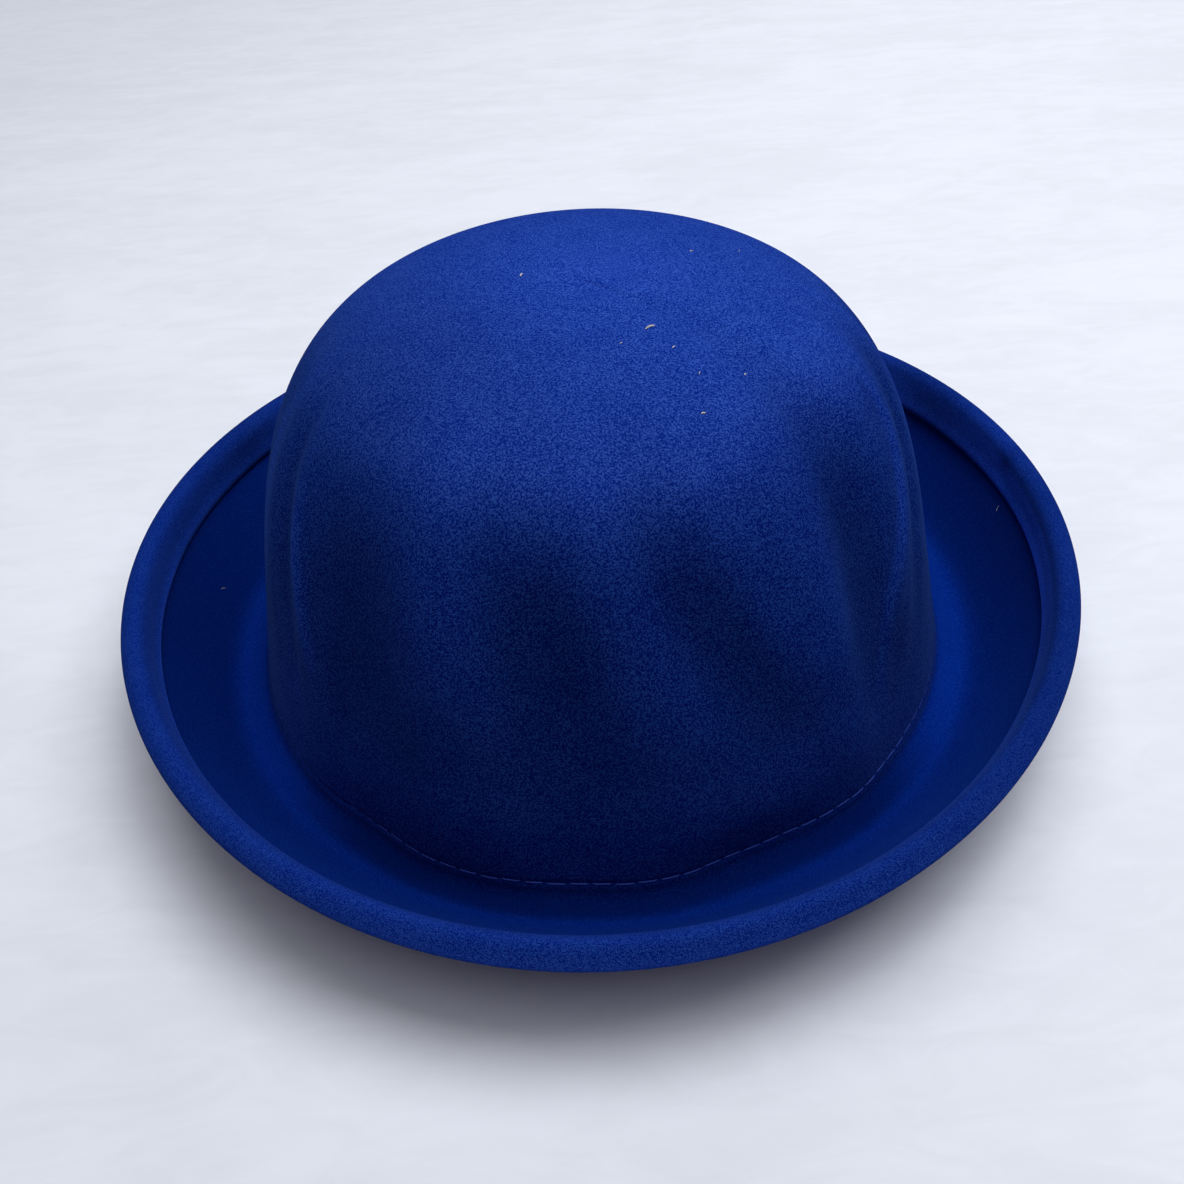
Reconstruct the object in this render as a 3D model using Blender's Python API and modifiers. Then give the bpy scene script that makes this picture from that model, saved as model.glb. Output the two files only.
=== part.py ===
"""Bowler hat in wool felt, made piece by piece as a milliner makes it.

One blocked felt hood is both crown and brim. Its edge is turned over to the upper side, round a
sprung brim wire whose ends meet in a joiner at the centre back. Inside the crown a ribbon
sweatband, lapped at the centre back, is held by one row of lockstitch round the crown base.

Metres, +Z up. The hat stands on the flat ring under its brim at Z = 0. +Y is the centre back and
X runs from side to side.
"""

import bmesh
import bpy
from math import ceil, cos, pi, radians, sin, tan
from mathutils import Vector
from mathutils.geometry import interpolate_bezier

# Felt
FELT = 0.0020                    # thickness of the felt sheet

# Crown, measured to the outer face of the felt
HEAD_HALF_WIDTH = 0.0910         # side to side, at the row of stitches
HEAD_HALF_LENGTH = 0.1005        # front to back, at the row of stitches
CROWN_HEIGHT = 0.1010
SEAM_HEIGHT = 0.0057             # the row of stitches above the rest surface
WALL_TOP = 0.0372                # where the straight wall runs into the dome
WALL_RAKE = radians(10.5)        # the wall leans in by this
DOME_SHOULDER = 0.82             # fullness of the dome next to the wall, 0 to 1
DOME_TOP = 0.724                 # fullness of the dome's top, 0 to 1

# Brim, measured to the middle of the felt
CREASE_RADIUS = 0.0032           # where the wall turns out into the brim
REST_RING = 0.0030               # width of the flat ring that the hat stands on
SIDE_BRIM = 0.0281               # from the row of stitches out to the middle of the fold
FRONT_BRIM = 0.0322
SIDE_RIM_HEIGHT = 0.0303         # height of the middle of the fold
FRONT_RIM_HEIGHT = 0.0257
SIDE_SLOPE = radians(66)         # slope of the brim where it meets the fold
FRONT_SLOPE = radians(28)
BRIM_START_PULL = 0.22           # how long the brim keeps to the flat ring, a share of its width
BRIM_END_PULL = 0.36             # how long it keeps to the slope at the fold

# Turned hem
WIRE_TUNNEL_RADIUS = 0.0011      # the room that the fold leaves round the wire
HEM_DEPTH = 0.0090               # from the middle of the fold to the raw edge
HEM_SLIT = 0.00035               # between the turned flap and the brim
HEM_NECK = 0.0058                # length over which the fold closes down to the slit

# Brim wire and its joiner
WIRE_DIAMETER = 0.0008
WIRE_END_GAP = 0.0006            # between the two wire ends, inside the joiner
JOINER_LENGTH = 0.0240
JOINER_WALL = 0.0002
JOINER_CLEARANCE = 0.00025       # between the wire and the joiner's bore

# Ribbon sweatband
BAND_WIDTH = 0.0250
BAND_THICKNESS = 0.0007
BAND_CLEARANCE = 0.0005          # between the ribbon and the felt
BAND_EDGE = 0.0032               # the row of stitches above the ribbon's lower edge
BAND_LAP = 0.0190                # how far the ribbon's ends overlap at the centre back
LAP_CLEARANCE = 0.0003           # between the lapped ends

# Sewing threads
THREAD_RADIUS = 0.00026
THREAD_CLEARANCE = 0.0003        # between a thread and the surface that it lies on
THREAD_DROP = 0.0015             # length over which a thread comes down off the ribbon's end
LAP_SEAM_INSET = 0.0025          # the upright seam, in from the ribbon's end
LAP_SEAM_EDGE = 0.0020           # the upright seam stops short of the ribbon's upper edge by this

# Fineness of the mesh
SEGMENTS = 60                    # round the oval, a multiple of 4
DOME_ROWS = 11
WALL_ROWS = 3
CREASE_ROWS = 3
BRIM_ROWS = 6
FOLD_ROWS = 6
HEM_ROWS = 4
BAND_ROWS = 2
WIRE_ARC_ROWS = 2                # bevel resolution: 8 sides
THREAD_ARC_ROWS = 1              # 6 sides

BACK = pi / 2                    # direction of the centre back
HALF_FELT = FELT / 2
FOLD_RADIUS = WIRE_TUNNEL_RADIUS + HALF_FELT
FACET_SAG = HEAD_HALF_LENGTH * (1 - cos(pi / SEGMENTS))


# ---------------------------------------------------------------- helpers

def new_collection(name):
    collection = bpy.data.collections.new(name)
    bpy.context.scene.collection.children.link(collection)
    return collection


def material(name, color, roughness, metallic=0.0):
    made = bpy.data.materials.new(name)
    made.use_nodes = True
    shader = made.node_tree.nodes["Principled BSDF"]
    shader.inputs["Base Color"].default_value = (*color, 1.0)
    shader.inputs["Roughness"].default_value = roughness
    shader.inputs["Metallic"].default_value = metallic
    return made


def place(name, data, finish, collection):
    """Put mesh or curve data in the scene as one named piece."""
    piece = bpy.data.objects.new(name, data)
    piece.data.materials.append(finish)
    collection.objects.link(piece)
    return piece


def mesh_from(bm, name, sharp_angle=radians(40)):
    data = bpy.data.meshes.new(name)
    bmesh.ops.recalc_face_normals(bm, faces=bm.faces)
    bm.to_mesh(data)
    bm.free()
    data.shade_smooth()
    data.set_sharp_from_angle(angle=sharp_angle)
    return data


def thicken(piece, thickness):
    """Give an open surface its thickness, half to each side."""
    shell = piece.modifiers.new("Thickness", "SOLIDIFY")
    shell.thickness = thickness
    shell.offset = 0.0
    shell.use_even_offset = True
    return shell


def smooth_step(share):
    share = min(max(share, 0.0), 1.0)
    return share * share * (3 - 2 * share)


def ease(share, start, end):
    return start + (end - start) * smooth_step(share)


def curve_points(start, start_handle, end_handle, end, rows):
    """Points of a cubic curve in the section plane, both ends included."""
    corners = [Vector((*point, 0.0)) for point in (start, start_handle, end_handle, end)]
    return [point.xy for point in interpolate_bezier(*corners, rows + 1)]


def arc_points(centre, radius, start, end, rows):
    return [
        Vector(centre) + radius * Vector((cos(angle), sin(angle)))
        for angle in (start + (end - start) * row / rows for row in range(rows + 1))
    ]


# ---------------------------------------------------------------- felt sections

def wall_radius(half_size, height):
    """Half size of the crown's straight wall, to the middle of the felt."""
    lean = (height - SEAM_HEIGHT) * tan(WALL_RAKE)
    return half_size - HALF_FELT / cos(WALL_RAKE) - lean


def crown_section(half_size):
    """From the top of the crown down the dome and the straight wall to the flat ring."""
    top = CROWN_HEIGHT - HALF_FELT
    shoulder = wall_radius(half_size, WALL_TOP)
    pull = DOME_SHOULDER * (top - WALL_TOP)
    dome = curve_points(
        (0.0, top),
        (DOME_TOP * shoulder, top),
        (shoulder - pull * sin(WALL_RAKE), WALL_TOP + pull * cos(WALL_RAKE)),
        (shoulder, WALL_TOP),
        DOME_ROWS,
    )
    elbow = wall_radius(half_size, HALF_FELT)
    ring_start = elbow + CREASE_RADIUS * tan((pi / 2 - WALL_RAKE) / 2)
    crease = arc_points(
        (ring_start, HALF_FELT + CREASE_RADIUS), CREASE_RADIUS, pi + WALL_RAKE, 1.5 * pi, CREASE_ROWS
    )
    wall = [dome[-1].lerp(crease[0], row / WALL_ROWS) for row in range(1, WALL_ROWS)]
    return dome + wall + crease


def fold_centre(half_size, brim, rim_height):
    return Vector((half_size + brim, rim_height))


def brim_section(ring_end, centre, slope, rows):
    """From the flat ring out and up to where the fold begins."""
    fold_start = centre + FOLD_RADIUS * Vector((sin(slope), -cos(slope)))
    width = (fold_start - ring_end).length
    return curve_points(
        ring_end,
        ring_end + BRIM_START_PULL * width * Vector((1.0, 0.0)),
        fold_start - BRIM_END_PULL * width * Vector((cos(slope), sin(slope))),
        fold_start,
        rows,
    )


def point_back_along(points, distance):
    """The point at a distance back from a polyline's end, and the direction of travel there."""
    for end, start in zip(reversed(points), reversed(points[:-1])):
        step = (end - start).length
        if distance <= step:
            return end.lerp(start, distance / step), (end - start).normalized()
        distance -= step
    start, end = points[:2]
    return start, (end - start).normalized()


def hem_section(brim, centre, slope):
    """Round the fold and back down the brim's upper side to the raw edge."""
    fold = arc_points(centre, FOLD_RADIUS, slope - pi / 2, slope + pi / 2, FOLD_ROWS)
    flap = []
    for row in range(1, HEM_ROWS + 1):
        distance = HEM_DEPTH * row / HEM_ROWS
        point, travel = point_back_along(brim, distance)
        spacing = ease(distance / HEM_NECK, 2 * FOLD_RADIUS, FELT + HEM_SLIT)
        flap.append(point + spacing * Vector((-travel.y, travel.x)))
    return fold[1:] + flap


def felt_section(half_size, brim, rim_height, slope):
    """The middle line of the felt, from the top of the crown to the raw edge of the hem."""
    crown = crown_section(half_size)
    ring_end = crown[-1] + Vector((REST_RING, 0.0))
    centre = fold_centre(half_size, brim, rim_height)
    rise = brim_section(ring_end, centre, slope, BRIM_ROWS)
    fine_rise = brim_section(ring_end, centre, slope, BRIM_ROWS * 8)
    return crown + rise + hem_section(fine_rise, centre, slope)


def oval_point(side, front, angle):
    """A point between the side section and the front section, at an angle round the oval."""
    across, along = cos(angle), sin(angle)
    height = side.y * across ** 2 + front.y * along ** 2
    return Vector((side.x * across, front.x * along, height))


# ---------------------------------------------------------------- felt hood

def felt_body(finish, collection):
    """Crown, brim and turned hem: one sheet of felt, lofted round the oval and thickened."""
    side = felt_section(HEAD_HALF_WIDTH, SIDE_BRIM, SIDE_RIM_HEIGHT, SIDE_SLOPE)
    front = felt_section(HEAD_HALF_LENGTH, FRONT_BRIM, FRONT_RIM_HEIGHT, FRONT_SLOPE)
    angles = [2 * pi * segment / SEGMENTS for segment in range(SEGMENTS)]
    bm = bmesh.new()
    top = bm.verts.new(oval_point(side[0], front[0], 0.0))
    rings = [
        [bm.verts.new(oval_point(side_point, front_point, angle)) for angle in angles]
        for side_point, front_point in zip(side[1:], front[1:])
    ]
    for segment in range(SEGMENTS):
        following = (segment + 1) % SEGMENTS
        bm.faces.new((top, rings[0][segment], rings[0][following]))
        for upper, lower in zip(rings, rings[1:]):
            bm.faces.new((upper[segment], lower[segment], lower[following], upper[following]))
    body = place("felt_body", mesh_from(bm, "felt_body"), finish, collection)
    thicken(body, FELT)
    return body


# ---------------------------------------------------------------- brim wire

def rim_point(angle):
    """The middle of the fold, where the wire runs."""
    side = fold_centre(HEAD_HALF_WIDTH, SIDE_BRIM, SIDE_RIM_HEIGHT)
    front = fold_centre(HEAD_HALF_LENGTH, FRONT_BRIM, FRONT_RIM_HEIGHT)
    return oval_point(side, front, angle)


def rim_angle(length):
    """The angle that a short length along the rim takes up at the centre back."""
    return length / (HEAD_HALF_WIDTH + SIDE_BRIM)


def rim_stations(start, end):
    """Angles from start to end, with every felt segment's angle between them."""
    step = 2 * pi / SEGMENTS
    first = ceil(start / step + 0.01)
    last = ceil(end / step - 0.01)
    return [start] + [segment * step for segment in range(first, last)] + [end]


def tube(name, points, radius, arc_rows, finish, collection, closed=False, hollow=False):
    """A round wire or thread along the points: a closed ring, or open with or without end caps."""
    data = bpy.data.curves.new(name, "CURVE")
    data.dimensions = "3D"
    data.bevel_depth = radius
    data.bevel_resolution = round(arc_rows)
    data.use_fill_caps = not (closed or hollow)
    spline = data.splines.new("POLY")
    spline.use_cyclic_u = closed
    spline.points.add(len(points) - 1)
    for control, point in zip(spline.points, points):
        control.co = (*point, 1.0)
    piece = place(name, data, finish, collection)
    if data.use_fill_caps:
        weld = piece.modifiers.new("Caps", "WELD")
        weld.merge_threshold = 0.00001
    return piece


def brim_wire(finish, collection):
    """One length of spring wire round the rim, its ends a hair apart at the centre back."""
    half_gap = rim_angle(WIRE_END_GAP) / 2
    points = [rim_point(angle) for angle in rim_stations(BACK + half_gap, BACK + 2 * pi - half_gap)]
    return tube("brim_wire", points, WIRE_DIAMETER / 2, WIRE_ARC_ROWS, finish, collection)


def wire_joiner(finish, collection):
    """A thin metal tube over both wire ends."""
    reach = rim_angle(JOINER_LENGTH) / 2
    points = [rim_point(angle) for angle in rim_stations(BACK - reach, BACK + reach)]
    middle = WIRE_DIAMETER / 2 + JOINER_CLEARANCE + JOINER_WALL / 2
    joiner = tube("wire_joiner", points, middle, WIRE_ARC_ROWS, finish, collection, hollow=True)
    thicken(joiner, JOINER_WALL)
    return joiner


# ---------------------------------------------------------------- sweatband

LAP_ANGLE = BAND_LAP / HEAD_HALF_WIDTH
LAP_STEP = BAND_THICKNESS + LAP_CLEARANCE
BAND_OUTSIDE = HALF_FELT / cos(WALL_RAKE) + BAND_CLEARANCE


def band_inset(angle):
    """How far the ribbon's lapping end stands in from the rest of the ribbon."""
    before_lap = BACK + 2 * pi - LAP_ANGLE / 2 - angle
    return ease(1 - before_lap / LAP_ANGLE, 0.0, LAP_STEP)


def inside_wall(angle, height, inset):
    """A point on the crown's wall, in from the middle of the felt."""
    half_width = wall_radius(HEAD_HALF_WIDTH, height) - inset
    half_length = wall_radius(HEAD_HALF_LENGTH, height) - inset
    return Vector((half_width * cos(angle), half_length * sin(angle), height))


def band_height(up_the_ribbon):
    """Height of a point, from its distance above the ribbon's lower edge."""
    return SEAM_HEIGHT + (up_the_ribbon - BAND_EDGE) * cos(WALL_RAKE)


def sweatband(finish, collection):
    """One strip of ribbon round the inside of the crown, its ends lapped at the centre back."""
    start = BACK - LAP_ANGLE / 2
    angles = rim_stations(start, start + 2 * pi + LAP_ANGLE)
    heights = [band_height(BAND_WIDTH * row / BAND_ROWS) for row in range(BAND_ROWS + 1)]
    middle = BAND_OUTSIDE + BAND_THICKNESS / 2
    bm = bmesh.new()
    rows = [
        [bm.verts.new(inside_wall(angle, height, middle + band_inset(angle))) for angle in angles]
        for height in heights
    ]
    for lower, upper in zip(rows, rows[1:]):
        for column in range(len(angles) - 1):
            bm.faces.new((lower[column], lower[column + 1], upper[column + 1], upper[column]))
    band = place("sweatband", mesh_from(bm, "sweatband"), finish, collection)
    thicken(band, BAND_THICKNESS)
    return band


# ---------------------------------------------------------------- sewing threads

ON_RIBBON = BAND_OUTSIDE + BAND_THICKNESS + THREAD_CLEARANCE + THREAD_RADIUS + FACET_SAG
LAP_END = BACK + LAP_ANGLE / 2


def needle_thread(finish, collection):
    """The thread on the outside of the crown, one ring round its base."""
    outset = HALF_FELT / cos(WALL_RAKE) + THREAD_CLEARANCE + THREAD_RADIUS
    angles = rim_stations(BACK, BACK + 2 * pi)[:-1]
    points = [inside_wall(angle, SEAM_HEIGHT, -outset) for angle in angles]
    return tube("needle_thread", points, THREAD_RADIUS, THREAD_ARC_ROWS, finish, collection, closed=True)


def bobbin_thread(finish, collection):
    """The thread on the inside, one ring that lies on the ribbon and steps over its lap."""
    drop = THREAD_DROP / HEAD_HALF_WIDTH
    angles = rim_stations(LAP_END + 2 * drop, LAP_END + 2 * pi)
    points = [inside_wall(angle, SEAM_HEIGHT, ON_RIBBON + band_inset(angle)) for angle in angles]
    points.append(inside_wall(LAP_END + drop, SEAM_HEIGHT, ON_RIBBON + LAP_STEP))
    return tube("bobbin_thread", points, THREAD_RADIUS, THREAD_ARC_ROWS, finish, collection, closed=True)


def lap_thread(finish, collection):
    """The upright seam that closes the ribbon's lap."""
    angle = LAP_END - LAP_SEAM_INSET / HEAD_HALF_WIDTH
    first = BAND_EDGE + 2 * (THREAD_RADIUS + THREAD_CLEARANCE)
    heights = (band_height(first), band_height(BAND_WIDTH - LAP_SEAM_EDGE))
    points = [inside_wall(angle, height, ON_RIBBON + LAP_STEP) for height in heights]
    return tube("lap_thread", points, THREAD_RADIUS, THREAD_ARC_ROWS, finish, collection)


# ---------------------------------------------------------------- build

def main():
    for old in list(bpy.data.objects):
        bpy.data.objects.remove(old, do_unlink=True)
    parts = new_collection("bowler_hat")
    felt = material("royal_blue_felt", (0.018, 0.062, 0.42), 0.95)
    ribbon = material("navy_grosgrain", (0.010, 0.018, 0.075), 0.70)
    outside_thread = material("pale_blue_thread", (0.22, 0.33, 0.62), 0.60)
    inside_thread = material("navy_thread", (0.020, 0.030, 0.110), 0.60)
    spring_wire = material("spring_steel", (0.55, 0.56, 0.58), 0.35, 1.0)
    zinc = material("zinc_tube", (0.62, 0.63, 0.64), 0.40, 1.0)
    felt_body(felt, parts)
    brim_wire(spring_wire, parts)
    wire_joiner(zinc, parts)
    sweatband(ribbon, parts)
    needle_thread(outside_thread, parts)
    bobbin_thread(inside_thread, parts)
    lap_thread(inside_thread, parts)


main()
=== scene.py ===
"""Felt bowler hat: the felt, ribbon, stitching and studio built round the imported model.

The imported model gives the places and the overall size. Each visible piece is a finer mesh of the
same part.
"""

from math import cos, pi, radians, sin, tan

import bpy
import numpy as np
from mathutils import Matrix, Vector


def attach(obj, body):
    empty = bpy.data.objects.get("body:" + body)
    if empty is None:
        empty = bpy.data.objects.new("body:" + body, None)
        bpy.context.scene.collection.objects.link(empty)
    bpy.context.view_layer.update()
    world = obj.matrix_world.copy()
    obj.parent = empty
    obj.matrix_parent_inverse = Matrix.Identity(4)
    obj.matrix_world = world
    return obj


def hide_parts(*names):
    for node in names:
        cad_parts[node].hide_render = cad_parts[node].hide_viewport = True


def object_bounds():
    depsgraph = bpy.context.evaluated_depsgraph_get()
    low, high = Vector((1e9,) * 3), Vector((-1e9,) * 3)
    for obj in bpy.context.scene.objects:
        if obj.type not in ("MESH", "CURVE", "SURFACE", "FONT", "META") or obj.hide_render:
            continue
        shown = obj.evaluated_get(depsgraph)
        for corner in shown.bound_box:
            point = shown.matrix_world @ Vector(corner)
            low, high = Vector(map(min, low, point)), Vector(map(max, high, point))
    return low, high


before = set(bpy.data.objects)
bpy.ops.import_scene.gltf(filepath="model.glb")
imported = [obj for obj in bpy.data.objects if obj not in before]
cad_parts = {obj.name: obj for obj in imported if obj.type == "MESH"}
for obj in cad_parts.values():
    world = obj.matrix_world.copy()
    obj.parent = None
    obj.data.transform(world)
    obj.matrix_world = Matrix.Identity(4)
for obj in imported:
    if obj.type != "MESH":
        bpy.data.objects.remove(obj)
CAD_LOW, CAD_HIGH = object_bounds()

bl_info = {
    "name": "Felt Bowler Hat",
    "version": (1, 0, 0),
    "blender": (4, 5, 0),
    "location": "3D View > Sidebar > Hat",
    "description": "Makes the felt, ribbon, stitching and studio of a bowler hat",
    "category": "Object",
}

# Directions round the hat are angles from the right (+X) to the back (+Y)
BACK = pi / 2
MM = 0.001


# ---- properties

def number(name, description, value, **kind):
    return bpy.props.FloatProperty(name=name, description=description, default=value, **kind)


def length(name, description, millimetres):
    return number(name, description, millimetres * MM, unit="LENGTH", precision=5)


def angle(name, description, degrees):
    return number(name, description, radians(degrees), unit="ROTATION", subtype="ANGLE")


def share(name, description, value):
    return number(name, description, value, min=0.0, max=1.0, subtype="FACTOR")


def watts(name, description, value):
    return number(name, description, value, min=0.0, unit="POWER")


def colour(name, description, rgb):
    return bpy.props.FloatVectorProperty(
        name=name, description=description, default=rgb, size=3, min=0.0, max=1.0, subtype="COLOR"
    )


class HatFelt(bpy.types.PropertyGroup):
    """Sizes of the felt hood"""
    thickness: length("Felt", "Thickness of the felt", 2.0)
    head_width: length("Half Width", "Half width of the crown's base", 91.0)
    head_length: length("Half Length", "Half length of the crown's base", 100.5)
    seam_height: length("Seam Height", "Height of the row of stitches", 5.7)
    wall_top: length("Wall Top", "Height where the wall runs into the dome", 37.2)
    wall_rake: angle("Wall Rake", "How far the wall leans in", 10.5)
    shoulder: share("Shoulder", "Fullness of the dome next to the wall", 0.82)
    dome_top: share("Dome Top", "Fullness of the dome's top", 0.724)
    crease: length("Crease", "Radius where the wall turns out into the brim", 3.2)
    rest_ring: length("Rest Ring", "Width of the flat ring that the hat stands on", 3.0)
    fold: length("Fold", "Radius of the fold, to the middle of the felt", 2.1)
    side_rim: length("Side Rim", "Height of the fold's middle at the sides", 30.3)
    front_rim: length("Front Rim", "Height of the fold's middle at front and back", 25.7)
    side_slope: angle("Side Slope", "Slope of the brim where it meets the fold, at the sides", 66.0)
    front_slope: angle("Front Slope", "The same at the front and back", 28.0)
    start_pull: share("Start Pull", "How long the brim keeps to the flat ring", 0.22)
    end_pull: share("End Pull", "How long the brim keeps to its slope at the fold", 0.36)
    hem_depth: length("Hem Depth", "From the fold's middle to the raw edge", 9.5)
    hem_slit: length("Hem Slit", "Between the turned hem and the brim", 0.06)
    hem_neck: length("Hem Neck", "Length over which the fold closes down to the slit", 8.4)


class HatTrim(bpy.types.PropertyGroup):
    """Sizes of the ribbon and the stitches"""
    ribbon_edge: length("Ribbon Edge", "Stitches above the ribbon's lower edge", 3.2)
    ribbon_lap: length("Ribbon Lap", "Overlap of the ribbon's ends", 19.0)
    rib_pitch: length("Rib Pitch", "From one rib of the ribbon to the next", 0.95)
    rib_relief: length("Rib Relief", "Depth of the ribbon's ribs", 0.12)
    picot: length("Picot", "How far the ribs stand out at the ribbon's edges", 0.35)
    ribbon: length("Ribbon", "Thickness of the ribbon", 0.7)
    ribbon_width: length("Ribbon Width", "Width of the ribbon", 25.0)
    ribbon_clearance: length("Ribbon Clearance", "Between the felt and the ribbon", 0.5)
    lap_clearance: length("Lap Clearance", "Between the lapped ends", 0.3)
    stitches: bpy.props.IntProperty(
        name="Stitches", description="Stitches round the crown", default=120, min=3)
    stitch_length: length("Stitch Length", "The part of a stitch on the surface", 4.6)
    thread: length("Thread", "Radius of the thread", 0.17)
    wire: length("Wire", "Diameter of the brim wire", 0.8)
    wire_gap: length("Wire Gap", "Between the wire's two ends", 0.6)
    joiner_length: length("Joiner Length", "Length of the tube over the wire's ends", 24.0)
    joiner_wall: length("Joiner Wall", "Thickness of the tube's wall", 0.2)
    joiner_clearance: length("Joiner Clearance", "Between the wire and its tube", 0.25)


class HatColours(bpy.types.PropertyGroup):
    """Colours of the materials"""
    felt_dark: colour("Felt Dark", "Dark grains of the wall and the hem", (0.0001, 0.0045, 0.105))
    felt_light: colour("Felt Light", "Light grains of the wall and the hem", (0.0115, 0.044, 0.245))
    # Lit copies of the felt's colours: painted light where the crown faces up
    lit_top_dark: colour("Top Dark", "Dark grains where the crown faces up", (0.0005, 0.014, 0.205))
    lit_top_light: colour("Top Light", "Light grains where the crown faces up", (0.03, 0.086, 0.43))
    # Shaded copies of the felt's colours: painted shade in the gutter between the crown and the hem
    shaded_gutter_dark: colour("Gutter Dark", "Dark grains in the gutter", (0.0002, 0.01, 0.14))
    shaded_gutter_light: colour("Gutter Light", "Light grains in the gutter", (0.0022, 0.022, 0.19))
    grain: length("Grain", "Size of the grains", 0.4)
    ribbon: colour("Ribbon", "Sweatband ribbon", (0.012, 0.02, 0.085))
    outside_thread: colour("Outside Thread", "Needle thread", (0.024, 0.058, 0.34))
    inside_thread: colour("Inside Thread", "Bobbin thread", (0.02, 0.03, 0.11))
    steel: colour("Steel", "Brim wire", (0.52, 0.53, 0.55))
    zinc: colour("Zinc", "Wire joiner", (0.62, 0.63, 0.64))
    lint: colour("Lint", "Stray fibres", (0.62, 0.6, 0.58))
    floor: colour("Floor", "Studio floor", (0.82, 0.86, 0.96))


class HatStage(bpy.types.PropertyGroup):
    """Camera and lights"""
    distance: length("Distance", "Camera to its target", 350.85)
    elevation: angle("Elevation", "Camera above the horizon", 38.52)
    azimuth: angle("Azimuth", "Camera round the hat", -0.53)
    roll: angle("Roll", "Camera about its own axis", -4.25)
    target_x: length("Target X", "Target to the side of the hat's middle", -1.5)
    target_z: length("Target Z", "Target above the floor", 7.04)
    lens: number("Lens", "Focal length in millimetres", 38.2)
    top_power: watts("Top Power", "Soft box overhead", 7.2)
    key_power: watts("Key Power", "Soft box at the right", 6.8)
    fill_power: watts("Fill Power", "Soft box at the front left", 3.4)
    back_power: watts("Back Power", "Low strip behind the hat at the right", 3.6)
    front_power: watts("Front Power", "Faint low glow in front", 1.8)
    front_tint: colour("Front Tint", "Colour of the glow in front", (1.0, 0.8, 0.58))
    side_power: watts("Side Power", "Low glow behind the hat at the left", 1.1)
    reach: length("Reach", "From the hat to the lamps", 1300.0)
    backdrop: colour("Backdrop", "What the camera sees past the floor", (0.78, 0.82, 0.9))


# ---- curves and meshes

def bezier(start, start_pull, end_pull, end, rows):
    """Points along a cubic curve, both ends included."""
    t = np.linspace(0.0, 1.0, rows + 1)[:, None]
    corners = [np.asarray(point, float) for point in (start, start_pull, end_pull, end)]
    weights = ((1 - t) ** 3, 3 * t * (1 - t) ** 2, 3 * t * t * (1 - t), t ** 3)
    return sum(weight * corner for weight, corner in zip(weights, corners))


def arc(centre, radius, start, end, rows):
    """Points along part of a circle, both ends included."""
    turn = np.linspace(start, end, rows + 1)
    return np.asarray(centre) + radius * np.column_stack((np.cos(turn), np.sin(turn)))


def smooth_step(value):
    """Softly from 0 to 1 while the value goes from 0 to 1."""
    value = np.clip(value, 0.0, 1.0)
    return value * value * (3 - 2 * value)


def eased(place, start, span):
    """0 before a start, softly up to 1 a span after it."""
    return smooth_step((place - start) / span)


def hill(value):
    """A soft hill, 1 at the middle."""
    return np.exp(-value * value)


def mesa(value):
    """A hill with a flatter top and steeper sides."""
    return np.exp(-np.abs(value) ** 2.8)


def turned_by(turn, middle):
    """Signed angle from a direction, both in degrees."""
    return (turn - middle + 180) % 360 - 180


def hill_round(turn, direction, half_width):
    """A soft hill round the hat: its direction and half width are in degrees."""
    return hill(turned_by(np.degrees(turn), direction) / half_width)


def unit(vectors):
    return vectors / np.linalg.norm(vectors, axis=-1, keepdims=True)


def mesh_from(points, faces):
    data = bpy.data.meshes.new("mesh")
    data.from_pydata(points.tolist(), [], faces)
    data.shade_smooth()
    return data


def ring_quads(first, rings, sides):
    """Quads between rings that follow one another."""
    step = np.arange(sides)
    start = first + np.arange(rings - 1)[:, None] * sides
    a, b = start + step, start + (step + 1) % sides
    return np.stack((a, a + sides, b + sides, b), axis=-1).reshape(-1, 4).tolist()


def capped_rings(first, rings, sides):
    """The quads between rings, and a face at each end."""
    last = first + (rings - 1) * sides
    caps = [list(range(first, first + sides)), list(range(last + sides - 1, last - 1, -1))]
    return ring_quads(first, rings, sides) + caps


def closed_skin(rings, top, bottom):
    """A closed skin from a top point, through rings, to a bottom point."""
    count, sides = rings.shape[:2]
    points = np.concatenate((np.reshape(top, (1, 3)), rings.reshape(-1, 3), np.reshape(bottom, (1, 3))))
    last = len(points) - 1
    pairs = [(a, (a + 1) % sides) for a in range(sides)]
    caps = [(0, 1 + a, 1 + b) for a, b in pairs]
    caps += [(last, last - sides + b, last - sides + a) for a, b in pairs]
    return mesh_from(points, caps + ring_quads(1, count, sides))


def torus_skin(rings):
    """A closed skin of rings whose last meets its first."""
    count, sides = rings.shape[:2]
    looped = np.array(ring_quads(0, count + 1, sides)) % (count * sides)
    return mesh_from(rings.reshape(-1, 3), looped.tolist())


def spokes_round(paths, outward, sides):
    """Directions square to each path, evenly round it."""
    along = unit(np.gradient(paths, axis=-2))
    across = unit(np.cross(along, outward))
    upward = np.cross(across, along)
    turn = np.linspace(0, 2 * pi, sides, endpoint=False)[:, None]
    return across[..., None, :] * np.cos(turn) + upward[..., None, :] * np.sin(turn)


def tubes(paths, outward, radii, sides=8):
    """Round tubes along paths (tube, point, xyz), as one mesh."""
    rings = paths[:, :, None] + spokes_round(paths, outward, sides) * radii[..., None, None]
    count = paths.shape[1]
    faces = []
    for tube in range(len(paths)):
        first = tube * count * sides
        faces += capped_rings(first, count, sides)
    return mesh_from(rings.reshape(-1, 3), faces)


# ---- the crown's wall

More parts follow.
